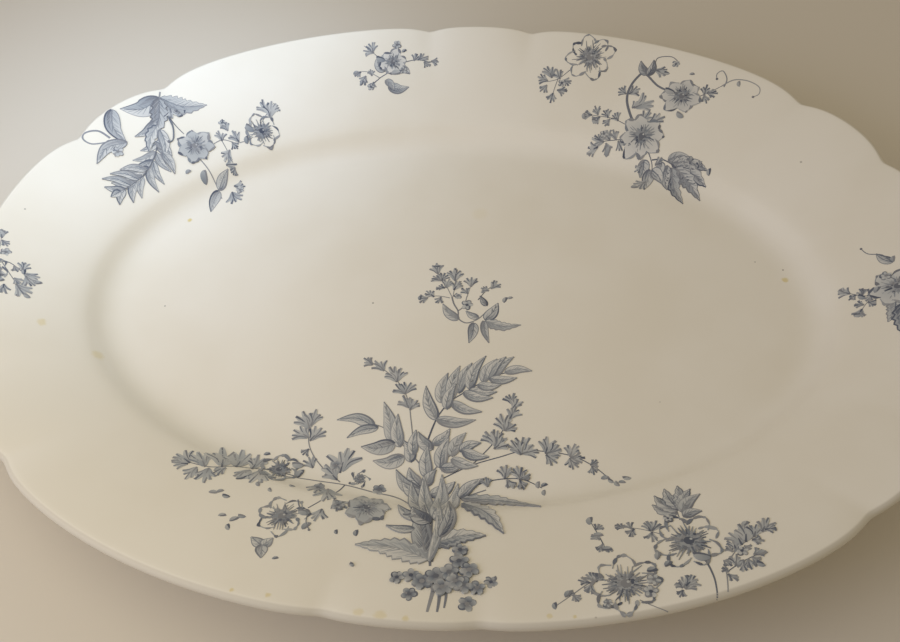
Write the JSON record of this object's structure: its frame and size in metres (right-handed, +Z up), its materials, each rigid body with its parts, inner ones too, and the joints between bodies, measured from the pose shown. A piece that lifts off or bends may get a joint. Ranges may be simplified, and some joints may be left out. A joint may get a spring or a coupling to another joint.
{
  "type": "oval serving platter",
  "caption": "Oval serving platter of glazed earthenware with a flat well, a broad rising rim with a scalloped edge, and a low foot ring to stand on.",
  "frame": {"origin": "on the table, under the middle of the platter", "axes": "+X along the platter's length, +Y across it, +Z up from the table"},
  "size_m": [0.3558, 0.2774, 0.0339],
  "materials": {
    "biscuit": "bare fired earthenware, off-white, dry and matt",
    "glaze": "glossy lead glaze over ivory clay, aged, with a blue-grey printed decoration under it"
  },
  "bodies": {
    "root": {"platter_body": "biscuit", "foot_ring": "biscuit", "face_glaze": "glaze", "base_glaze": "glaze"}
  },
  "joints": []
}
